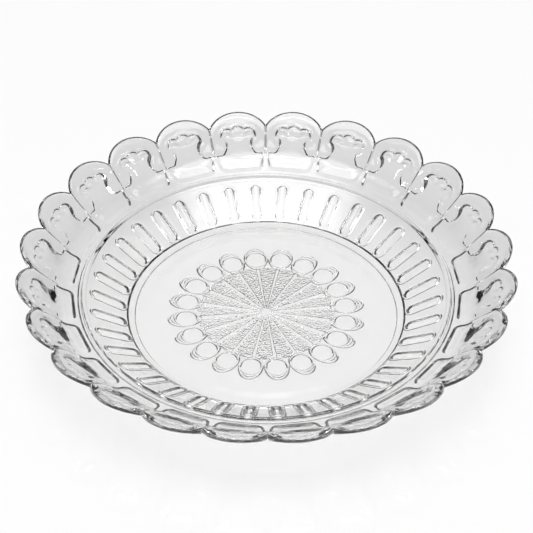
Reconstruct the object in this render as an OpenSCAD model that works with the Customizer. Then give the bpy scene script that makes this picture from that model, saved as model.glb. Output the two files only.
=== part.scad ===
// Pressed-glass serving plate: a flat floor with a medallion of ring petals and rays,
// a fluted wall, a shoulder bead and a rim of scroll-edged scallops.
// It is one pressing of glass. The upper face is smooth, the pattern is pressed into the underside,
// and the plate stands on a low foot at z = 0.

/* [Floor and foot] */
// Radius of the flat floor of the well
floor_r = 76; // [66:1:90]
// Thickness of the glass under the floor
floor_t = 5; // [3.5:0.5:8]
// Height of the floor's underside above the table
foot_h = 1.5; // [1.2:0.1:3]
// Distance of the foot's outer face out from where the wall's outer surface would meet the table
foot_reach = 6; // [4.5:0.1:7]
// Width of the foot ring, from its inner edge to its outer face
foot_w = 5; // [3:0.1:6]
// Width of the flat on which the foot rests, at its inner edge
foot_flat = 1.5; // [1:0.1:2.5]
// Height of the lower edge of the foot's outer face
foot_rise = 0.8; // [0.4:0.1:0.9]
// Height of the step at the foot's inner edge
foot_step = 0.6; // [0.3:0.1:1]
// Width of the slope from the foot's step up to the floor's underside
foot_fade = 12; // [4:0.5:14]

/* [Glass] */
// Thickness of the wall and of the foot of the rim, square to the surface
wall_t = 4.4; // [4:0.1:7]
// Thickness of the rim at the notches
notch_t = 3.4; // [3:0.1:5]
// Thickness of the rim at the tops of the scallops
edge_t = 2.4; // [2:0.1:4]

/* [Fluted wall] */
// Radial run of the wall, from the floor to the shoulder
wall_run = 26; // [22:1:36]
// Rise of the wall
wall_rise = 14.7; // [8:0.1:24]
// Number of flutes round the wall
flute_count = 38; // [12:1:40]
// Width of a flute
flute_w = 7.6; // [4:0.2:9]
// Length of a flute along the slope, over its round ends
flute_l = 21.8; // [12:0.2:24]
// Distance of the flutes down from the middle of the wall, along the slope
flute_down = 1.2; // [0:0.1:2]
// Depth of a flute
flute_depth = 1.9; // [0.6:0.1:2]
// Turn of the flutes against the notches, in degrees
flute_turn = -1.2; // [-5:0.1:5]

/* [Shoulder] */
// Radius of the bead's section on the shoulder
bead_r = 1.3; // [0.6:0.1:2.2]
// Radial run of the ledge, from the shoulder to the foot of the scrolls
ledge_run = 13.3; // [10:0.5:20]
// Rise of the ledge
ledge_rise = 3.5; // [1:0.1:6]

/* [Rim] */
// Radial run of the rim, from the ledge to the notches
rim_run = 15.7; // [12:0.1:22]
// Rise of the rim
rim_rise = 13.9; // [6:0.1:18]
// Rise of the lip, from the notches to the tops of the scallops
lip_rise = 3.2; // [0.5:0.1:5]
// Number of scallops
scallop_count = 24; // [20:1:26]
// Reach of a scallop beyond the notches
scallop_depth = 8; // [6:0.1:12]
// Tilt of a scallop's rounded edge from level, in degrees
scallop_tilt = 27; // [15:1:35]
// Radius of a scallop's rounded edge
edge_r = 4.5; // [4.2:0.1:6]
// Width of the groove between two scallops
groove_w = 1.8; // [1:0.1:4]

/* [Scroll field] */
// Depth of the field inside a scroll
field_depth = 2.1; // [0.5:0.1:2.4]
// Width of the scroll band at the top of a scallop
band_w = 7; // [6:0.1:13]
// Radius of each of the three lobes at the head of the field
lobe_r = 3.8; // [2.5:0.1:5]
// Distance of the side lobes from the middle of the scallop
lobe_spread = 6.4; // [3:0.1:7]
// Drop of the side lobes below the middle one
lobe_drop = 1.3; // [0:0.1:4]
// Radius of the volutes at the waist of the field
volute_r = 4.1; // [2.5:0.1:5]
// Distance of the volutes out from the foot of the rim
volute_out = 5.4; // [4:0.1:7]
// Half width of the waist between the volutes
waist_half = 7.4; // [4:0.1:8]
// Radius of the round corners at the foot of the field
corner_r = 2.6; // [1:0.1:4]
// Gap between the feet of neighbouring fields
bulb_gap = 2.6; // [1:0.1:5]
// Width by which the foot of the field narrows towards the shoulder, on each side
bulb_taper = 1.5; // [0:0.1:3]
// Width of the smooth band between the field and the shoulder
ledge_band = 6.6; // [3:0.1:8]
// Width of the foot of the field, out from its inner edge
bulb_w = 10.1; // [9:0.1:12]

/* [Medallion] */
// Number of ring petals, and of rays inside them
petal_count = 20; // [10:1:22]
// Radius of the circle that the petals are centred on
petal_pitch_r = 46.2; // [40:0.1:52]
// Length of a petal, outwards
petal_l = 19.8; // [14:0.1:22]
// Width of a petal
petal_w = 12.8; // [11.4:0.1:13]
// Height of a petal under the floor
petal_h = 1; // [0.4:0.1:1.1]
// Radius of the round eye in a petal
eye_r = 5.4; // [3:0.1:5.5]
// Distance of the eye in from the middle of its petal
eye_in = 0.9; // [0:0.1:2]
// Height of the wedges between the rays
wedge_h = 0.5; // [0.2:0.1:0.9]
// Outer radius of the rays
ray_outer_r = 38; // [20:0.5:38.5]
// Inner radius of the wedges between the rays
ray_inner_r = 4; // [3:0.5:12]
// Width of a ray at its outer end
ray_outer_w = 1.6; // [1:0.1:4]
// Width of a ray at the middle of the floor
ray_inner_w = 0.4; // [0.2:0.1:0.5]
// Turn of the medallion against the notches, in degrees
medallion_turn = -1.8; // [-5:0.1:5]

/* [Hidden] */
$fn = 96;
// Spare length by which a cutter passes the surface it cuts
over = 10;
glass = [0.86, 0.91, 0.93, 0.5];

// Levels and radii of the section's corners
floor_z = foot_h + floor_t;
shoulder_r = floor_r + wall_run;
junction_r = shoulder_r + ledge_run;
notch_r = junction_r + rim_run;
peak_r = notch_r + scallop_depth;
shoulder_z = floor_z + wall_rise;
junction_z = shoulder_z + ledge_rise;
notch_z = junction_z + rim_rise;
peak_z = notch_z + lip_rise;
pitch = 360 / scallop_count;

// Slopes of the wall and of the lip, in degrees
wall_slope = atan2(wall_rise, wall_run);
lip_slope = atan2(lip_rise, scallop_depth);

// Upper surface of the section, from the floor's edge to past the scallops
lip_end = [peak_r + over * cos(lip_slope), peak_z + over * sin(lip_slope)];
upper = [
    [floor_r, floor_z], [shoulder_r, shoulder_z], [junction_r, junction_z], [notch_r, notch_z], lip_end
];

// Unit normal, pointing down and out, of the stretch of a section that starts at its corner i
function normal(line, i) =
    let (step = line[i + 1] - line[i]) [step[1], -step[0]] / norm(step);

// Corner i of a section, moved by t square to both stretches that meet there
function moved_corner(line, i, t) =
    i == 0 ? line[0] + t * normal(line, 0) :
    i == len(line) - 1 ? line[i] + t * normal(line, i - 1) :
    let (a = normal(line, i - 1), b = normal(line, i)) line[i] + t * (a + b) / (1 + a * b);

// Section moved by a thickness that is given for each corner, less a depth
function moved(line, t, depth = 0) = [for (i = [0 : len(line) - 1]) moved_corner(line, i, t[i] - depth)];

function reversed(line) = [for (i = [len(line) - 1 : -1 : 0]) line[i]];

// Thickness of the glass at each corner of the section
thickness = [wall_t, wall_t, wall_t, notch_t, edge_t];
under = moved(upper, thickness);

// The foot ring stands out from the wall's outer surface, close to where that would meet the table
foot_out_r = under[0][0] - under[0][1] / tan(wall_slope) + foot_reach;
foot_in_r = foot_out_r - foot_w;
foot_section = [
    [foot_out_r, foot_reach * tan(wall_slope)],
    [foot_out_r, foot_rise],
    [foot_in_r + foot_flat, 0],
    [foot_in_r, 0],
    [foot_in_r - foot_step, foot_step],
    [foot_in_r - foot_step - foot_fade, foot_h]
];

// A scallop's edge is a round-edged disc, tilted with the rim, whose top is at the peak
// and which meets its neighbours at the notches
notch_back = peak_r - notch_r * cos(pitch / 2);
notch_side = notch_r * sin(pitch / 2) * cos(scallop_tilt);
disc_reach = (notch_side * notch_side + notch_back * notch_back) / (2 * notch_back);
disc_r = disc_reach / cos(scallop_tilt);
disc_z = peak_z - edge_t / 2 - disc_reach * tan(scallop_tilt);
inner_r = notch_r - edge_r;

// Corners of the underside that carry the scrolls
rim_foot = under[2];
rim_line = under[3] - rim_foot;
rim_under_slope = atan2(rim_line[1], rim_line[0]);

// Radial places of the scroll field's features
head_r = peak_r - band_w;
side_lobe_r = head_r - lobe_r - lobe_drop;
volute_place_r = rim_foot[0] + volute_out;
bulb_in_r = shoulder_r + ledge_band;
bulb_out_r = bulb_in_r + bulb_w;
bulb_out_half = bulb_out_r * tan(pitch / 2) - bulb_gap / 2;
bulb_in_half = bulb_in_r * tan(pitch / 2) - bulb_gap / 2 - bulb_taper;

// The flute's cutter is a long round bar that enters the wall by the flute's depth
flute_r = (flute_w * flute_w / 4 + flute_depth * flute_depth) / (2 * flute_depth);
flute_half = (flute_l - flute_w) / 2;
flute_place = (under[0] + under[1]) / 2 - flute_down * [cos(wall_slope), sin(wall_slope)];

// Depth to which the petals and wedges are rooted in the floor
root = 1;

module round_about(count, offset = 0) {
    for (i = [0 : count - 1]) rotate(offset + i * 360 / count) children();
}

// Outline with its corners moved out by r and rounded
module rounded(points, r) {
    polygon(points);
    for (i = [0 : len(points) - 1]) {
        a = points[i];
        b = points[(i + 1) % len(points)];
        side = r * [b[1] - a[1], a[0] - b[0]] / norm(b - a);
        polygon([a, a + side, b + side, b]);
        translate(a) circle(r);
    }
}

// Body of revolution, with the foot, the shoulder bead and a lip past the scallops
module blank() {
    rotate_extrude() {
        polygon(concat(
            [[0, floor_z]], upper, reversed([for (i = [1 : len(under) - 1]) under[i]]),
            foot_section, [[0, foot_h]]
        ));
        translate([shoulder_r, shoulder_z]) circle(bead_r);
    }
}

// Round-edged disc that bounds one scallop, pointing along +X
module scallop_disc() {
    translate([peak_r - disc_reach, 0, disc_z])
        rotate([0, -scallop_tilt, 0])
            rotate_extrude() {
                translate([0, -edge_r]) square([disc_r - edge_r, 2 * edge_r]);
                intersection() {
                    translate([disc_r - edge_r, 0]) circle(edge_r);
                    translate([disc_r - edge_r, -edge_r]) square([edge_r, 2 * edge_r]);
                }
            }
}

module scalloped_outline() {
    translate([0, 0, -over]) cylinder(r = inner_r, h = peak_z + 2 * over);
    round_about(scallop_count, pitch / 2) scallop_disc();
}

// Plan of one field, pointing along +X: a three-lobed head, a waist and a broad foot
module field_plan() {
    difference() {
        union() {
            translate([head_r - lobe_r, 0]) circle(lobe_r);
            for (side = [-1, 1]) translate([side_lobe_r, side * lobe_spread]) circle(lobe_r);
            translate([bulb_in_r + corner_r, -lobe_spread - lobe_r / 2])
                square([side_lobe_r - bulb_in_r - corner_r, 2 * lobe_spread + lobe_r]);
            rounded([
                [bulb_in_r + corner_r, corner_r - bulb_in_half], [bulb_out_r - corner_r, corner_r - bulb_out_half],
                [bulb_out_r - corner_r, bulb_out_half - corner_r], [bulb_in_r + corner_r, bulb_in_half - corner_r]
            ], corner_r);
        }
        for (side = [-1, 1])
            translate([volute_place_r, side * (waist_half + volute_r)]) circle(volute_r);
    }
}

// The space under the fields' sunken surface
module field_cutter() {
    sunk = moved(upper, thickness, field_depth);
    sunk_rim = [for (i = [1 : len(sunk) - 1]) sunk[i]];
    intersection() {
        translate([0, 0, -over])
            linear_extrude(peak_z + 2 * over) round_about(scallop_count, pitch / 2) field_plan();
        rotate_extrude()
            polygon(concat(sunk_rim, [[lip_end[0] + over, -over], [sunk_rim[0][0], -over]]));
    }
}

// V-shaped bar along the rim's underside, from the foot of the scrolls out through a notch
module groove_cutter() {
    side = groove_w / sqrt(2);
    translate([rim_foot[0], 0, rim_foot[1]])
        rotate([0, -rim_under_slope, 0])
            rotate([45, 0, 0])
                translate([0, -side / 2, -side / 2]) cube([norm(rim_line) + over, side, side]);
}

module flute_cutter() {
    translate([flute_place[0], 0, flute_place[1]])
        rotate([0, -wall_slope, 0])
            translate([0, 0, flute_depth - flute_r]) {
                rotate([0, 90, 0]) cylinder(r = flute_r, h = 2 * flute_half, center = true);
                for (end = [-flute_half, flute_half]) translate([end, 0, 0]) sphere(flute_r);
            }
}

// Oval petal under the floor, with a round eye
module petal() {
    reach = (petal_l - petal_w) / 2;
    translate([petal_pitch_r, 0, foot_h - petal_h])
        linear_extrude(petal_h + root)
            difference() {
                union() {
                    translate([-reach, -petal_w / 2]) square([2 * reach, petal_w]);
                    for (end = [-reach, reach]) translate([end, 0]) circle(petal_w / 2);
                }
                translate([-eye_in, 0]) circle(eye_r);
            }
}

// Plan of one ray, pointing along +X
module ray_plan() {
    widen = (ray_outer_w - ray_inner_w) / ray_outer_r;
    end = ray_outer_r + over;
    end_half = (ray_inner_w + widen * end) / 2;
    polygon([[0, -ray_inner_w / 2], [end, -end_half], [end, end_half], [0, ray_inner_w / 2]]);
}

// Wedges under the floor, parted by the rays
module wedges() {
    translate([0, 0, foot_h - wedge_h])
        linear_extrude(wedge_h + root)
            difference() {
                circle(ray_outer_r);
                circle(ray_inner_r);
                round_about(petal_count) ray_plan();
            }
}

module plate() {
    color(glass) {
        difference() {
            intersection() {
                blank();
                scalloped_outline();
            }
            field_cutter();
            round_about(scallop_count) groove_cutter();
            round_about(flute_count, flute_turn) flute_cutter();
        }
        rotate(medallion_turn + 180 / petal_count) {
            round_about(petal_count) petal();
            wedges();
        }
    }
}

plate();
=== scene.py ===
"""Serving plate in clear pressed glass: one closed mesh, built ring by ring from the plate's section."""

import math

import bpy
import numpy as np
from mathutils import Matrix, Vector


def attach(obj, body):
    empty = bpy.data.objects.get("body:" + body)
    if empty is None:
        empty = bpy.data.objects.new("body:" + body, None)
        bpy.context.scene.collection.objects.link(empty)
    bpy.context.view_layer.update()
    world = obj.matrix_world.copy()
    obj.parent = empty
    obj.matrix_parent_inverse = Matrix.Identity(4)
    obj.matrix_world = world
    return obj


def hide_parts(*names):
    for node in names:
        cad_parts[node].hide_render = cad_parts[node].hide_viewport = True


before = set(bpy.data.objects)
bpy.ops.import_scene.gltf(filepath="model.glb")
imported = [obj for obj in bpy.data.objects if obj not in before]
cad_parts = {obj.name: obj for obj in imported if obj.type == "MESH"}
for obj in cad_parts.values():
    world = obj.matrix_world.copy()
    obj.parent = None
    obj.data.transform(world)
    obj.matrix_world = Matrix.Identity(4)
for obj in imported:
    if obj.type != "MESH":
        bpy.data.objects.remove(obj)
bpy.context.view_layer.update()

# Section of the plate, in millimetres
MM = 0.001
FOOT_H = 1.5
FLOOR_T = 5.0
FLOOR_Z = FOOT_H + FLOOR_T
FLOOR_R = 76.0
FOOT_IN = 74.44
FOOT_FLAT = 75.94
FOOT_OUT = 79.44
FOOT_RISE = 0.8
FOOT_STEP = 0.6
FOOT_FADE = 12.0
FOOT_SOFT = 0.3
FOOT_STEP_W = 0.8
FOOT_SIDE_W = 0.5
WALL_T = 4.4
WALL_RUN, WALL_RISE = 26.0, 14.7
LEDGE_RUN, LEDGE_RISE = 13.3, 3.5
RIM_RUN, RIM_RISE = 15.7, 13.1
LIP_RISE = 3.9
SCALLOPS = 24
SCALLOP_DEPTH = 8.0
SCALLOP_TILT = math.radians(27)
LEDGE_RING_R = 105.2
LEDGE_RING_HALF = 1.1
LEDGE_RING_H = 0.7
BEAD_R = 1.3
BEAD_LIFT = 0.5
RIM_GAP = 2.5
SCALLOP_IN = 8.0
FAR_OFF = 99.0

SHOULDER_R = FLOOR_R + WALL_RUN
JUNCTION_R = SHOULDER_R + LEDGE_RUN
NOTCH_R = JUNCTION_R + RIM_RUN
PEAK_R = NOTCH_R + SCALLOP_DEPTH
NOTCH_Z = FLOOR_Z + WALL_RISE + LEDGE_RISE + RIM_RISE
PITCH = 2 * math.pi / SCALLOPS
RIM_START = SHOULDER_R + RIM_GAP
RELIEF_START = SHOULDER_R + 2.0
SLOPES = [
    WALL_RISE / WALL_RUN,
    LEDGE_RISE / LEDGE_RUN,
    RIM_RISE / RIM_RUN,
    LIP_RISE / SCALLOP_DEPTH,
]

# Scroll field on each scallop, measured along the slope from the foot of the scrolls
FIELD_DEPTH = 2.4
FIELD_SHOULDER = 2.2
FIELD_LOW = 0.6
FIELD_RAMP = -0.5
FIELD_RAMP_L = 6.0
FIELD_HEAD = 0.34
FIELD_HEAD_LOW = 10.0
FIELD_HEAD_HIGH = 16.0
FIELD_BOWL = 0.5
FIELD_BOWL_W = 7.0
BAND_CROWN = 0.6
BAND_LOW = 4.0
BAND_HIGH = 12.0
BAND_START_W = 2.0
UPPER_CROWN = 0.8
UPPER_FIELD = 0.3
HEAD_TOP = 19.0
HEAD_SOFT = 0.4
LOBE_R = 4.3
LOBE_SPREAD = 6.1
LOBE_DROP = 1.4
VOLUTE_R = 4.6
VOLUTE_Y = 7.0
VOLUTE_SOFT = 1.4
WAIST_HALF = 7.4
STEM_MORE = 1.5
STEM_SOFT = 1.2
BULB_R = 2.6
BULB_HALF = 11.3
BULB_LOW = -6.2
BULB_HIGH = -0.9
BULB_TAPER = 0.3
BULB_SOFT = 2.5
GROOVE_DEPTH = 0.9
GROOVE_SHOULDER = 1.0
EDGE_R = 1.4
EDGE_SQUARE = 3.0
EDGE_T = 2.7
EDGE_SHARE = 0.06

# Flutes on the wall
FLUTES = 38
FLUTE_W = 6.6
FLUTE_L = 21.8
FLUTE_SHIFT = 1.0
FLUTE_DEPTH = 1.9
FLUTE_LIP = 0.8
FLUTE_LIP_H = 0.6
FLUTE_TURN = math.radians(-1.2)

# Medallion on the floor
RINGS = 20
RING_PITCH_R = 46.2
PETAL_LONG = 9.9
PETAL_WIDE = 7.1
PETAL_BEAD = 1.0
PETAL_H = 0.65
PETAL_MID_SHARE = 0.7
PETAL_MID_LOW = 2.6
PETAL_MID_HIGH = 3.6
EYE_R = 5.3
EYE_IN = 0.9
RAY_OUTER_R = 39.5
RAY_END_HALF = 0.8
RAY_POINT = 0.15
RAY_SIDE = 0.5
RAY_FADE = 2.0
STAR_PLAIN_R = 1.2
STAR_PLAIN_FADE = 3.0
WEDGE_H = 0.2
STIPPLE_LONG = 1.6
STIPPLE_WIDE = 1.1
STIPPLE_H = 0.7
STIPPLE_SEED = 7
STIPPLE_JITTER = 0.35
STIPPLE_SMALL = 0.6
STIPPLE_REACH = 0.75
MEDALLION_R = 60.0
MEDALLION_TURN = math.radians(-1.8)

# Glass: tint and depth of its body, haze and waves of its surface
GLASS_FACE = (0.992, 0.992, 0.99, 1.0)
GLASS_IOR = 1.52
GLASS_TINT = (0.68, 0.68, 0.68, 1.0)
GLASS_DEPTH = 20.0
HAZE_SCALE = 45.0
HAZE_ROUGHNESS = 0.03
WAVE_SCALE = 70.0
WAVE_HEIGHT = 0.0002

# Table and light; levels are against the white of the table
FLOOR_HALF = 8.0
FLOOR_COLOUR = (0.95, 0.95, 0.95, 1.0)
FLOOR_ROUGHNESS = 0.5
FLOOR_SHADOW = 0.2
FLOOR_POLISH = 0.05
FLOOR_LEVEL = 1.03
FLOOR_IOR = 1.6
# Painted light on the table: its glow is a painted pool of light around the plate, full out to the first
# radius, fading to a painted dark level by the second
FLOOR_LIT_POOL_R = 0.4
FLOOR_LIT_POOL_END = 0.7
FLOOR_FAR = 0.1
# Painted shade: the table seen through the glass is darker outside the plate, between these radii, by this
# share
FLOOR_THROUGH_PAINTED_SHADE = 0.28
FLOOR_THROUGH_R = 0.085
FLOOR_THROUGH_END = 0.14
DOME_TOWARDS = (0.0, -0.05, 1.0)
DOME_LOW = 0.3
DOME_HIGH = 0.95
DOME_LEVEL = 0.2
OVERHEAD_TOWARDS = (0.0, 0.03, 1.0)
OVERHEAD_LOW = 0.88
OVERHEAD_HIGH = 0.96
OVERHEAD_LEVEL = 4.0
SKY_DARK = 0.04
SWEEP_TOWARDS = (0.0, 1.0, 0.6)
SWEEP_LOW = 0.7
SWEEP_HIGH = 0.95
SWEEP_LEVEL = 0.55
HOT_TOWARDS = (0.0, 0.02, 1.0)
HOT_LOW = 0.991
HOT_HIGH = 0.998
HOT_LEVEL = 8.0
SIDE_POWER = 1.5
SIDE_SIZE = 0.08
SIDE_ELEVATION = math.radians(50)
SIDE_DISTANCE = 1.6

# Camera
CAMERA_ELEVATION = math.radians(41.06)
CAMERA_TURN = math.radians(-0.55)
CAMERA_ROLL = math.radians(0.48)
CAMERA_DISTANCE = 1.220
CAMERA_LENS = 148.3


def softplus(x):
    return np.logaddexp(0.0, x)


def section(r, level, corners):
    """Height of a line that starts level and turns at each corner (radius, change of slope, softness)."""
    z = np.full_like(r, level)
    for radius, turn, soft in corners:
        z = z + turn * soft * softplus((r - radius) / soft)
    return z


def rise(x, width):
    """0 at x <= 0, rising with a rounded shoulder to 1 at x >= width."""
    t = np.clip(x / width, 0.0, 1.0)
    return 1.0 - (1.0 - t) ** 2


def smooth_step(x, low, high):
    t = np.clip((x - low) / (high - low), 0.0, 1.0)
    return t * t * (3.0 - 2.0 * t)


UPPER_CORNERS = [
    (FLOOR_R, SLOPES[0], 0.5),
    (SHOULDER_R, SLOPES[1] - SLOPES[0], 0.7),
    (JUNCTION_R, SLOPES[2] - SLOPES[1], 1.6),
    (NOTCH_R, SLOPES[3] - SLOPES[2], 1.8),
]


def corner_under(before, after):
    """How far the outer surface's corner lies out from the upper one's, for the slopes that meet there."""
    half = (math.atan(before) + math.atan(after)) / 2
    half_turn = (math.atan(after) - math.atan(before)) / 2
    return WALL_T * math.sin(half) / math.cos(half_turn)


FOOT_R = (
    FLOOR_R
    + WALL_T * math.sin(math.atan(SLOPES[0]))
    - (FLOOR_Z - WALL_T * math.cos(math.atan(SLOPES[0]))) / SLOPES[0]
)
UNDER_R = [
    SHOULDER_R + corner_under(SLOPES[0], SLOPES[1]),
    JUNCTION_R + corner_under(SLOPES[1], SLOPES[2]),
    NOTCH_R + corner_under(SLOPES[2], SLOPES[3]),
]
UNDER_CORNERS = [
    (FOOT_R, SLOPES[0], 0.25),
    (UNDER_R[0], SLOPES[1] - SLOPES[0], 1.2),
    (UNDER_R[1], SLOPES[2] - SLOPES[1], 2.0),
    (UNDER_R[2], SLOPES[3] - SLOPES[2], 2.0),
]


def slope_cosine(r, corners):
    step = 0.05
    grade = (section(r + step, 0.0, corners) - section(r - step, 0.0, corners)) / (2 * step)
    return 1.0 / np.sqrt(1.0 + grade**2)


# A scallop's plan is half an ellipse through its two notches and its peak
NOTCH_BACK = PEAK_R - NOTCH_R * math.cos(PITCH / 2)
NOTCH_SIDE = NOTCH_R * math.sin(PITCH / 2) * math.cos(SCALLOP_TILT)
LOBE_REACH = (NOTCH_SIDE**2 + NOTCH_BACK**2) / (2 * NOTCH_BACK)
LOBE_HALF = LOBE_REACH / math.cos(SCALLOP_TILT)
LOBE_C = PEAK_R - LOBE_REACH


def scallop_angle(th):
    """Angle from the middle of the scallop that th is in."""
    return (np.mod(th / PITCH, 1.0) - 0.5) * PITCH


def outline_r(th):
    a = scallop_angle(th)
    s, c = np.sin(a), np.cos(a)
    p = (s / LOBE_HALF) ** 2 + (c / LOBE_REACH) ** 2
    q = c * LOBE_C / LOBE_REACH**2
    k = (LOBE_C / LOBE_REACH) ** 2 - 1.0
    return (q + np.sqrt(q * q - p * k)) / p


def edge_distance(r, th):
    a = scallop_angle(th)
    x, y = r * np.sin(a) / LOBE_HALF, (r * np.cos(a) - LOBE_C) / LOBE_REACH
    e = np.maximum(np.hypot(x, y), 1e-6)
    steep = np.hypot(x / LOBE_HALF, y / LOBE_REACH) / e
    return np.where(r * np.cos(a) > LOBE_C - SCALLOP_IN, (1.0 - e) / np.maximum(steep, 1e-6), FAR_OFF)


def circle(x, y, cx, cy, radius):
    return np.hypot(x - cx, y - cy) - radius


def slab(x, y, half, low, high):
    dx = np.abs(x) - half
    dy = np.abs(y - (low + high) / 2) - (high - low) / 2
    outside = np.hypot(np.maximum(dx, 0.0), np.maximum(dy, 0.0))
    return outside + np.minimum(np.maximum(dx, dy), 0.0)


def joined(a, b, soft):
    h = np.clip(0.5 + 0.5 * (b - a) / soft, 0.0, 1.0)
    return b + (a - b) * h - soft * h * (1.0 - h)


def field_distance(x, y):
    """Distance outside the sunken field of a scroll, negative inside."""
    side = np.abs(x)
    head_y = HEAD_TOP - LOBE_R
    middle_lobe = circle(x, y, 0.0, head_y, LOBE_R)
    side_lobe = circle(side, y, LOBE_SPREAD, head_y - LOBE_DROP, LOBE_R)
    head = joined(middle_lobe, side_lobe, HEAD_SOFT)
    stem = slab(x, y, WAIST_HALF + STEM_MORE, BULB_LOW, head_y - LOBE_DROP)
    taper = side + BULB_TAPER * (BULB_HIGH - y)
    foot = slab(taper, y, BULB_HALF, BULB_LOW, BULB_HIGH) - BULB_R
    shape = joined(joined(head, stem, STEM_SOFT), foot, BULB_SOFT)
    volute = circle(side, y, WAIST_HALF + VOLUTE_R, VOLUTE_Y, VOLUTE_R)
    return -joined(-shape, volute, VOLUTE_SOFT)


RIM_LENGTH = math.hypot(RIM_RUN, RIM_RISE)
ALONG_R = [SHOULDER_R, JUNCTION_R, NOTCH_R, PEAK_R]
ALONG_R_UNDER = UNDER_R + [UNDER_R[2] + SCALLOP_DEPTH]
ALONG_Y = [
    -math.hypot(LEDGE_RUN, LEDGE_RISE),
    0.0,
    RIM_LENGTH,
    RIM_LENGTH + math.hypot(SCALLOP_DEPTH, LIP_RISE),
]


def rim_place(r, th, along_r):
    """Angle and way up the slope on a scallop, and distances outside its field and in from its edge."""
    a = scallop_angle(th)
    x = r * np.sin(a)
    y = np.interp(r * np.cos(a), along_r, ALONG_Y)
    return a, y, field_distance(x, y), np.clip(edge_distance(r, th), 0.0, 40.0)


def band_crown(y, out, edge):
    """Rounded section of the scroll's band, 1 along its middle."""
    beyond = np.clip(out, 0.0, None)
    across = beyond / (beyond + edge + 1e-6)
    ends = smooth_step(out, 0.0, BAND_START_W) * smooth_step(y, BAND_LOW, BAND_HIGH)
    return 4.0 * across * (1.0 - across) * ends


def rim_relief(r, th):
    """Depth of the scrolls' relief into the underside."""
    a, y, out, edge = rim_place(r, th, ALONG_R_UNDER)
    half = FIELD_SHOULDER / 2
    full = FIELD_LOW + (1.0 - FIELD_LOW) * smooth_step(y, FIELD_RAMP, FIELD_RAMP + FIELD_RAMP_L)
    full = full * (1.0 - (1.0 - FIELD_HEAD) * smooth_step(y, FIELD_HEAD_LOW, FIELD_HEAD_HIGH))
    sunk = FIELD_DEPTH * full * (1.0 - smooth_step(out, -half, half))
    sunk = sunk + FIELD_BOWL * smooth_step(-out, 0.0, FIELD_BOWL_W)
    to_groove = r * np.sin(PITCH / 2 - np.abs(a))
    groove = np.hypot(to_groove, np.minimum(y, 0.0))
    cut = GROOVE_DEPTH * (1.0 - rise(groove, GROOVE_SHOULDER))
    return sunk + cut - BAND_CROWN * band_crown(y, out, edge)


def rim_roll(r, th):
    """Height of the rounded bands on the upper face, and the shallow dip in each field."""
    _, y, out, edge = rim_place(r, th, ALONG_R)
    dip = UPPER_FIELD * smooth_step(-out, -2.0, 4.0) * smooth_step(y, -6.0, 2.0)
    return UPPER_CROWN * band_crown(y, out, edge) - dip


def flute_relief(r, th):
    """Depth of the flutes into the wall's underside, less the raised lip around each."""
    slope = math.atan(SLOPES[0])
    step = 2 * math.pi / FLUTES
    a = (np.mod((th - FLUTE_TURN) / step + 0.5, 1.0) - 0.5) * step
    x = r * np.sin(a)
    y = (r - FLUTE_SHIFT - (FLOOR_R + WALL_RUN / 2)) / math.cos(slope)
    half = (FLUTE_L - FLUTE_W) / 2
    off = np.hypot(x, np.maximum(np.abs(y) - half, 0.0))
    round_r = (FLUTE_W**2 / 4 + FLUTE_DEPTH**2) / (2 * FLUTE_DEPTH)
    depth = np.sqrt(np.clip(round_r**2 - off**2, 0.0, None)) - (round_r - FLUTE_DEPTH)
    lip = np.clip(1.0 - ((off - FLUTE_W / 2 - FLUTE_LIP / 2) / FLUTE_LIP) ** 2, 0.0, 1.0)
    return np.clip(depth, 0.0, None) - FLUTE_LIP_H * lip


def medallion_angle(th):
    step = 2 * math.pi / RINGS
    return (np.mod((th - MEDALLION_TURN) / step, 1.0) - 0.5) * step


def petal_relief(r, th):
    """Height of the oval rings, each with a round flat eye."""
    a = medallion_angle(th)
    x, y = r * np.sin(a), r * np.cos(a) - RING_PITCH_R
    e = np.maximum(np.hypot(x / PETAL_WIDE, y / PETAL_LONG), 1e-6)
    steep = np.hypot(x / PETAL_WIDE**2, y / PETAL_LONG**2) / e
    inside = (1.0 - e) / np.maximum(steep, 1e-6)
    from_eye = np.hypot(x, y + EYE_IN) - EYE_R
    gap = inside + from_eye
    lines = [
        (inside - PETAL_BEAD, 1.0),
        (from_eye - PETAL_BEAD, 1.0),
        ((inside - from_eye) / 2, PETAL_MID_SHARE * smooth_step(gap, PETAL_MID_LOW, PETAL_MID_HIGH)),
    ]
    beads = [share * np.clip(1.0 - np.abs(off) / PETAL_BEAD, 0.0, 1.0) for off, share in lines]
    return PETAL_H * np.max(beads, axis=0)


def stipple(along, across, wedge):
    """Pressed grains, longer than wide, on a jittered grid that starts afresh in each wedge."""
    rng = np.random.default_rng(STIPPLE_SEED)
    long, wide = 26, 20
    shift = rng.uniform(-STIPPLE_JITTER, STIPPLE_JITTER, (RINGS, long, wide, 2))
    size = rng.uniform(STIPPLE_SMALL, 1.0, (RINGS, long, wide))
    u, v = along / STIPPLE_LONG, across / STIPPLE_WIDE + wide / 2
    i0, j0 = np.floor(u).astype(int), np.floor(v).astype(int)
    height = np.zeros_like(along)
    for di in (-1, 0, 1):
        for dj in (-1, 0, 1):
            i = np.clip(i0 + di, 0, long - 1)
            j = np.clip(j0 + dj, 0, wide - 1)
            off = np.hypot(u - i - 0.5 - shift[wedge, i, j, 0], v - j - 0.5 - shift[wedge, i, j, 1])
            height = np.maximum(height, size[wedge, i, j] * np.clip(1.0 - off / STIPPLE_REACH, 0.0, 1.0))
    return height


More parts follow.
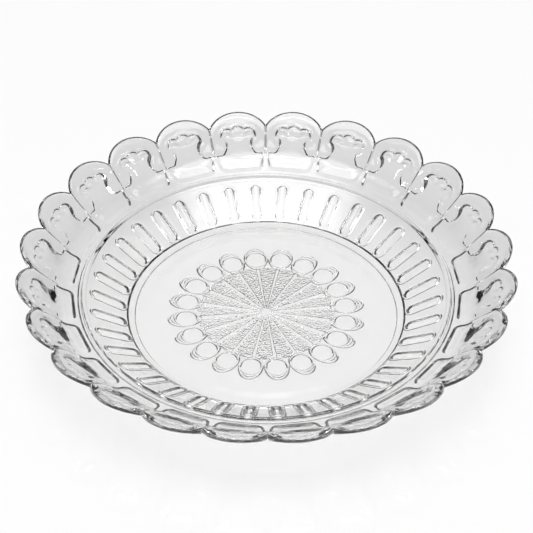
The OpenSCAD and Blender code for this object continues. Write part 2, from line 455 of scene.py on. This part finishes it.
def star_relief(r, th):
    """Height of the smooth rays and of the stippled wedges between them."""
    step = 2 * math.pi / RINGS
    turn = (th - MEDALLION_TURN) / step
    wedge = np.mod(np.round(turn), RINGS).astype(int)
    from_wedge = (turn - np.round(turn)) * step
    off = np.abs(r * np.sin(medallion_angle(th)))
    half = RAY_END_HALF * (RAY_POINT + (1.0 - RAY_POINT) * r / RAY_OUTER_R)
    between_rays = smooth_step(off, half, half + RAY_SIDE)
    fade = smooth_step(r, STAR_PLAIN_R, STAR_PLAIN_R + STAR_PLAIN_FADE)
    fade = fade * (1.0 - smooth_step(r, RAY_OUTER_R - RAY_FADE, RAY_OUTER_R))
    grain = stipple(r, r * np.sin(from_wedge), wedge)
    return fade * between_rays * (WEDGE_H + STIPPLE_H * grain)


def thinning(r, th):
    """How much thinner than the wall the glass is, growing evenly from the foot of the rim to its edge."""
    share = (r - JUNCTION_R) / (outline_r(th) - JUNCTION_R)
    return (WALL_T - EDGE_T) * np.clip(share, 0.0, 1.0)


def upper(r, th):
    bead = np.sqrt(np.clip(BEAD_R**2 - (r - SHOULDER_R) ** 2, 0.0, None))
    roll = np.where(r > RELIEF_START, rim_roll(r, th), 0.0)
    return section(r, FLOOR_Z, UPPER_CORNERS) + BEAD_LIFT * bead + roll / slope_cosine(r, UPPER_CORNERS)


def under(r, th):
    step_in = FOOT_IN - FOOT_STEP_W
    recess = FOOT_STEP * (1.0 - smooth_step(r, step_in, FOOT_IN))
    recess = recess + (FOOT_H - FOOT_STEP) * (1.0 - smooth_step(r, step_in - FOOT_FADE, step_in))
    sole = FOOT_RISE / (FOOT_OUT - FOOT_FLAT) * FOOT_SOFT * softplus((r - FOOT_FLAT) / FOOT_SOFT)
    side_in = FOOT_OUT - 0.1
    side = smooth_step(r, side_in, side_in + FOOT_SIDE_W)
    wall = section(r, 0.0, UNDER_CORNERS)
    z = recess + np.where(r < side_in, np.where(r < FOOT_IN, 0.0, sole), sole + (wall - sole) * side)
    z = z - np.where(r < MEDALLION_R, petal_relief(r, th) + star_relief(r, th), 0.0)
    ring = LEDGE_RING_H * np.clip(1.0 - ((r - LEDGE_RING_R) / LEDGE_RING_HALF) ** 2, 0.0, 1.0)
    cut = flute_relief(r, th) - ring + np.where(r > RELIEF_START, rim_relief(r, th), 0.0)
    return z + (cut + thinning(r, th)) / slope_cosine(r, UNDER_CORNERS)


def rows(low, high, count):
    return np.linspace(low, high, count + 1)[1:]


def angles(count):
    return np.arange(count) * 2 * math.pi / count


def scallop_angles(per_scallop):
    t = np.arange(per_scallop) / per_scallop * 2 - 1
    eased = (1.2 * t - 0.2 * t**3) / 2 + 0.5
    return np.concatenate([(k + eased) * PITCH for k in range(SCALLOPS)])


def place(r, z, th):
    r = np.broadcast_to(r, th.shape)
    return th, np.stack([r * np.cos(th), r * np.sin(th), z], -1)


def upper_rings():
    """Radii and angles of the rings on the upper face, from the middle out to the start of the rim."""
    for low, high, count, points in (
        (0.0, FLOOR_R - 4.0, 10, 240),
        (FLOOR_R - 4.0, FLOOR_R + 4.0, 20, 480),
        (FLOOR_R + 4.0, SHOULDER_R - RIM_GAP, 10, 480),
        (SHOULDER_R - RIM_GAP, RIM_START, 40, 480),
    ):
        for r in rows(low, high, count):
            yield r, angles(points)


def under_rings():
    """Radii and angles of the rings on the underside, from the middle out to the start of the rim."""
    for low, high, count, points in (
        (0.0, 6.0, 16, 240),
        (6.0, 16.0, 40, 480),
        (16.0, 34.0, 72, 960),
        (34.0, 57.0, 140, 1840),
        (57.0, FOOT_IN - 1.5, 10, 480),
        (FOOT_IN - 1.5, FOOT_OUT + 1.0, 60, 480),
        (FOOT_OUT + 1.0, RIM_START, 100, FLUTES * 44),
    ):
        for r in rows(low, high, count):
            yield r, angles(points)


def rim_ring(share, th, on_top):
    r = RIM_START + (outline_r(th) - RIM_START) * share
    top, low = upper(r, th), under(r, th)
    middle = (top + low) / 2
    near = np.clip(edge_distance(r, th) / EDGE_R, 0.0, 1.0)
    full = (1.0 - (1.0 - near) ** EDGE_SQUARE) ** (1.0 / EDGE_SQUARE)
    z = middle + (top - middle) * full if on_top else middle + (low - middle) * full
    return place(r, z, th)


def rim_shares(count):
    """Steps from the start of the rim to its edge, close together where the edge is rounded."""
    return np.concatenate([
        rows(0.0, 1.0 - EDGE_SHARE, count),
        1.0 - EDGE_SHARE * (1.0 - np.sin(rows(0.0, math.pi / 2, 9))),
    ])


def plate_rings():
    """Rings of points, from the middle of the floor out over the rim and back under to the middle."""
    rings = [place(r, upper(np.full_like(th, r), th), th) for r, th in upper_rings()]
    rings += [rim_ring(share, scallop_angles(48), True) for share in rim_shares(60)]
    rings += [rim_ring(share, scallop_angles(88), False) for share in rim_shares(105)[-2::-1]]
    rings += [place(r, under(np.full_like(th, r), th), th) for r, th in reversed(list(under_rings()))]
    return rings


def strip(a, b):
    """Triangles between two rings of points, given as (first index, angles)."""
    (start_a, th_a), (start_b, th_b) = a, b
    n, m = len(th_a), len(th_b)
    if n == m:
        i = np.arange(n)
        j = (i + 1) % n
        return np.concatenate([
            np.stack([start_a + i, start_b + i, start_b + j], -1),
            np.stack([start_a + i, start_b + j, start_a + j], -1),
        ])
    out = []
    i = k = 0
    while i < n or k < m:
        next_a = th_a[i + 1] if i + 1 < n else th_a[0] + 2 * math.pi if i < n else 99.0
        next_b = th_b[k + 1] if k + 1 < m else th_b[0] + 2 * math.pi if k < m else 99.0
        if next_a <= next_b:
            out.append((start_a + i % n, start_b + k % m, start_a + (i + 1) % n))
            i += 1
        else:
            out.append((start_a + i % n, start_b + k % m, start_b + (k + 1) % m))
            k += 1
    return np.array(out)


def fan(centre, start, count, upwards):
    i = start + np.arange(count)
    j = start + (np.arange(count) + 1) % count
    c = np.full(count, centre)
    return np.stack([c, i, j] if upwards else [c, j, i], -1)


def closed_mesh(name, rings, first, last):
    """Mesh through all rings, closed by one point at each end."""
    points = np.concatenate([[first], *[p for _, p in rings], [last]])
    starts = 1 + np.concatenate([[0], np.cumsum([len(th) for th, _ in rings])])
    spans = [(int(s), th) for s, (th, _) in zip(starts, rings)]
    faces = [fan(0, spans[0][0], len(spans[0][1]), True)]
    faces += [strip(a, b) for a, b in zip(spans, spans[1:])]
    faces.append(fan(len(points) - 1, spans[-1][0], len(spans[-1][1]), False))
    faces = np.concatenate(faces)
    mesh = bpy.data.meshes.new(name)
    mesh.vertices.add(len(points))
    mesh.vertices.foreach_set("co", (points * MM).astype(np.float32).ravel())
    mesh.loops.add(len(faces) * 3)
    mesh.loops.foreach_set("vertex_index", faces.astype(np.int32).ravel())
    mesh.polygons.add(len(faces))
    mesh.polygons.foreach_set("loop_start", np.arange(0, len(faces) * 3, 3, dtype=np.int32))
    mesh.polygons.foreach_set("use_smooth", np.ones(len(faces), bool))
    mesh.update(calc_edges=True)
    mesh.validate()
    return mesh


def linked(name, data):
    obj = bpy.data.objects.new(name, data)
    bpy.context.scene.collection.objects.link(obj)
    return obj


def glass_material():
    material = bpy.data.materials.new("pressed_glass")
    material.use_nodes = True
    shader = material.node_tree.nodes["Principled BSDF"]
    shader.inputs["Base Color"].default_value = GLASS_FACE
    shader.inputs["IOR"].default_value = GLASS_IOR
    shader.inputs["Transmission Weight"].default_value = 1.0
    tree = material.node_tree
    coords = tree.nodes.new("ShaderNodeTexCoord")
    haze = tree.nodes.new("ShaderNodeTexNoise")
    haze.inputs["Scale"].default_value = HAZE_SCALE
    haze.inputs["Detail"].default_value = 3.0
    tree.links.new(coords.outputs["Object"], haze.inputs["Vector"])
    polish = tree.nodes.new("ShaderNodeMapRange")
    polish.inputs["From Min"].default_value = 0.35
    polish.inputs["From Max"].default_value = 0.75
    polish.inputs["To Min"].default_value = 0.0
    polish.inputs["To Max"].default_value = HAZE_ROUGHNESS
    tree.links.new(haze.outputs["Fac"], polish.inputs["Value"])
    tree.links.new(polish.outputs["Result"], shader.inputs["Roughness"])
    waves = tree.nodes.new("ShaderNodeTexNoise")
    waves.inputs["Scale"].default_value = WAVE_SCALE
    waves.inputs["Detail"].default_value = 1.0
    tree.links.new(coords.outputs["Object"], waves.inputs["Vector"])
    bump = tree.nodes.new("ShaderNodeBump")
    bump.inputs["Strength"].default_value = 1.0
    bump.inputs["Distance"].default_value = WAVE_HEIGHT
    tree.links.new(waves.outputs["Fac"], bump.inputs["Height"])
    tree.links.new(bump.outputs["Normal"], shader.inputs["Normal"])
    depth = tree.nodes.new("ShaderNodeVolumeAbsorption")
    depth.inputs["Color"].default_value = GLASS_TINT
    depth.inputs["Density"].default_value = GLASS_DEPTH
    tree.links.new(depth.outputs[0], tree.nodes["Material Output"].inputs["Volume"])
    return material


def make_plate():
    rings = plate_rings()
    mesh = closed_mesh("serving_plate", rings, (0.0, 0.0, FLOOR_Z), (0.0, 0.0, FOOT_H))
    plate = linked("serving_plate", mesh)
    mesh.materials.append(glass_material())
    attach(plate, "root")
    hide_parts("plate")
    return plate


def light_path_share(tree):
    """1 for what is seen directly, in gloss or through glass, and 0 for the light that falls on things."""
    path = tree.nodes.new("ShaderNodeLightPath")
    seen = path.outputs["Is Camera Ray"]
    for other in ("Is Glossy Ray", "Is Transmission Ray"):
        top = tree.nodes.new("ShaderNodeMath")
        top.operation = "MAXIMUM"
        tree.links.new(seen, top.inputs[0])
        tree.links.new(path.outputs[other], top.inputs[1])
        seen = top.outputs[0]
    return seen


def direction_share(tree, vector, towards, low, high):
    """0 to 1 as a direction turns towards a given one."""
    dot = tree.nodes.new("ShaderNodeVectorMath")
    dot.operation = "DOT_PRODUCT"
    dot.inputs[1].default_value = Vector(towards).normalized()
    tree.links.new(vector, dot.inputs[0])
    share = tree.nodes.new("ShaderNodeMapRange")
    share.interpolation_type = "SMOOTHSTEP"
    share.inputs["From Min"].default_value = low
    share.inputs["From Max"].default_value = high
    tree.links.new(dot.outputs["Value"], share.inputs["Value"])
    return share.outputs["Result"]


def painted_shade_through_glass(tree, length, painted_light_pool):
    """Table's level with its painted pool of light, and painted shade: greyer outside the plate where it
    is seen through the glass.
    """
    outside = tree.nodes.new("ShaderNodeMapRange")
    outside.interpolation_type = "SMOOTHSTEP"
    outside.inputs["From Min"].default_value = FLOOR_THROUGH_R
    outside.inputs["From Max"].default_value = FLOOR_THROUGH_END
    outside.inputs["To Max"].default_value = FLOOR_THROUGH_PAINTED_SHADE
    tree.links.new(length.outputs["Value"], outside.inputs["Value"])
    path = tree.nodes.new("ShaderNodeLightPath")
    drop = tree.nodes.new("ShaderNodeMath")
    drop.operation = "MULTIPLY"
    tree.links.new(outside.outputs["Result"], drop.inputs[0])
    tree.links.new(path.outputs["Is Transmission Ray"], drop.inputs[1])
    kept = tree.nodes.new("ShaderNodeMath")
    kept.operation = "SUBTRACT"
    kept.inputs[0].default_value = 1.0
    tree.links.new(drop.outputs[0], kept.inputs[1])
    level = tree.nodes.new("ShaderNodeMath")
    level.operation = "MULTIPLY"
    tree.links.new(painted_light_pool.outputs["Result"], level.inputs[0])
    tree.links.new(kept.outputs[0], level.inputs[1])
    return level.outputs[0]


def make_floor():
    size = FLOOR_HALF
    mesh = bpy.data.meshes.new("floor")
    corners = [(-size, -size, 0.0), (size, -size, 0.0), (size, size, 0.0), (-size, size, 0.0)]
    mesh.from_pydata(corners, [], [(0, 1, 2, 3)])
    floor = linked("floor", mesh)
    material = bpy.data.materials.new("white_table")
    material.use_nodes = True
    tree = material.node_tree
    lit = tree.nodes["Principled BSDF"]
    lit.inputs["Base Color"].default_value = FLOOR_COLOUR
    lit.inputs["Roughness"].default_value = FLOOR_ROUGHNESS
    lit.inputs["Specular IOR Level"].default_value = 0.0
    place_node = tree.nodes.new("ShaderNodeTexCoord")
    length = tree.nodes.new("ShaderNodeVectorMath")
    length.operation = "LENGTH"
    tree.links.new(place_node.outputs["Object"], length.inputs[0])
    # Painted pool of light: the table's glow falls from its full level near the plate to a painted dark
    # level far away
    painted_light_pool = tree.nodes.new("ShaderNodeMapRange")
    painted_light_pool.interpolation_type = "SMOOTHSTEP"
    painted_light_pool.inputs["From Min"].default_value = FLOOR_LIT_POOL_R
    painted_light_pool.inputs["From Max"].default_value = FLOOR_LIT_POOL_END
    painted_light_pool.inputs["To Min"].default_value = FLOOR_LEVEL
    painted_light_pool.inputs["To Max"].default_value = FLOOR_FAR
    tree.links.new(length.outputs["Value"], painted_light_pool.inputs["Value"])
    glow = tree.nodes.new("ShaderNodeEmission")
    # The glow carries the painted pool of light and the painted shade seen through the glass
    tree.links.new(painted_shade_through_glass(tree, length, painted_light_pool), glow.inputs["Strength"])
    share = tree.nodes.new("ShaderNodeMath")
    share.operation = "MULTIPLY"
    share.inputs[1].default_value = 1.0 - FLOOR_SHADOW
    tree.links.new(light_path_share(tree), share.inputs[0])
    mix = tree.nodes.new("ShaderNodeMixShader")
    tree.links.new(share.outputs[0], mix.inputs[0])
    tree.links.new(lit.outputs[0], mix.inputs[1])
    tree.links.new(glow.outputs[0], mix.inputs[2])
    polish = tree.nodes.new("ShaderNodeBsdfGlossy")
    polish.inputs["Roughness"].default_value = FLOOR_POLISH
    fresnel = tree.nodes.new("ShaderNodeFresnel")
    fresnel.inputs["IOR"].default_value = FLOOR_IOR
    coat = tree.nodes.new("ShaderNodeMixShader")
    tree.links.new(fresnel.outputs[0], coat.inputs[0])
    tree.links.new(mix.outputs[0], coat.inputs[1])
    tree.links.new(polish.outputs[0], coat.inputs[2])
    tree.links.new(coat.outputs[0], tree.nodes["Material Output"].inputs["Surface"])
    mesh.materials.append(material)


def make_world():
    """Studio under a wide soft overhead light, dark towards the horizon."""
    world = bpy.data.worlds.new("studio")
    bpy.context.scene.world = world
    world.use_nodes = True
    tree = world.node_tree
    back = tree.nodes["Background"]
    coords = tree.nodes.new("ShaderNodeTexCoord")
    sky = coords.outputs["Generated"]
    dome = direction_share(tree, sky, DOME_TOWARDS, DOME_LOW, DOME_HIGH)
    overhead = direction_share(tree, sky, OVERHEAD_TOWARDS, OVERHEAD_LOW, OVERHEAD_HIGH)
    level = tree.nodes.new("ShaderNodeMapRange")
    level.inputs["To Min"].default_value = SKY_DARK
    level.inputs["To Max"].default_value = DOME_LEVEL
    tree.links.new(dome, level.inputs["Value"])
    sweep = direction_share(tree, sky, SWEEP_TOWARDS, SWEEP_LOW, SWEEP_HIGH)
    hot = direction_share(tree, sky, HOT_TOWARDS, HOT_LOW, HOT_HIGH)
    total = level.outputs["Result"]
    for share, strength in ((overhead, OVERHEAD_LEVEL), (sweep, SWEEP_LEVEL), (hot, HOT_LEVEL)):
        more = tree.nodes.new("ShaderNodeMath")
        more.operation = "MULTIPLY_ADD"
        more.inputs[1].default_value = strength
        tree.links.new(share, more.inputs[0])
        tree.links.new(total, more.inputs[2])
        total = more.outputs[0]
    path = tree.nodes.new("ShaderNodeLightPath")
    seen = tree.nodes.new("ShaderNodeMix")
    seen.inputs["B"].default_value = 1.0
    tree.links.new(path.outputs["Is Camera Ray"], seen.inputs["Factor"])
    tree.links.new(total, seen.inputs["A"])
    tree.links.new(seen.outputs["Result"], back.inputs["Strength"])
    back.inputs["Color"].default_value = (1.0, 1.0, 1.0, 1.0)


def make_lamp(name, place_at, size, power):
    """Square lamp that faces the plate."""
    data = bpy.data.lights.new(name, "AREA")
    data.size = size
    data.energy = power
    lamp = linked(name, data)
    lamp.location = place_at
    lamp.rotation_euler = (-Vector(place_at)).to_track_quat("-Z", "Y").to_euler()


def make_camera():
    data = bpy.data.cameras.new("camera")
    data.lens = CAMERA_LENS
    data.sensor_width = 36.0
    camera = linked("camera", data)
    back = Vector((0.0, -math.cos(CAMERA_ELEVATION), math.sin(CAMERA_ELEVATION)))
    right = Vector((1.0, 0.0, 0.0))
    up = back.cross(right)
    turn = Matrix.Rotation(CAMERA_TURN, 4, "Z")
    roll = Matrix.Rotation(CAMERA_ROLL, 4, "Z")
    aim = Matrix((right, up, back)).transposed().to_4x4()
    middle = Matrix.Translation((0.0, 0.0, NOTCH_Z * MM))
    camera.matrix_world = middle @ turn @ Matrix.Translation(back * CAMERA_DISTANCE) @ aim @ roll
    bpy.context.scene.camera = camera


make_camera()
make_world()
make_floor()
for name, side in (("left_light", -1), ("right_light", 1)):
    side_at = SIDE_DISTANCE * Vector((side * math.cos(SIDE_ELEVATION), 0.0, math.sin(SIDE_ELEVATION)))
    make_lamp(name, side_at, SIDE_SIZE, SIDE_POWER)
make_plate()

bpy.context.scene.view_settings.view_transform = "Standard"
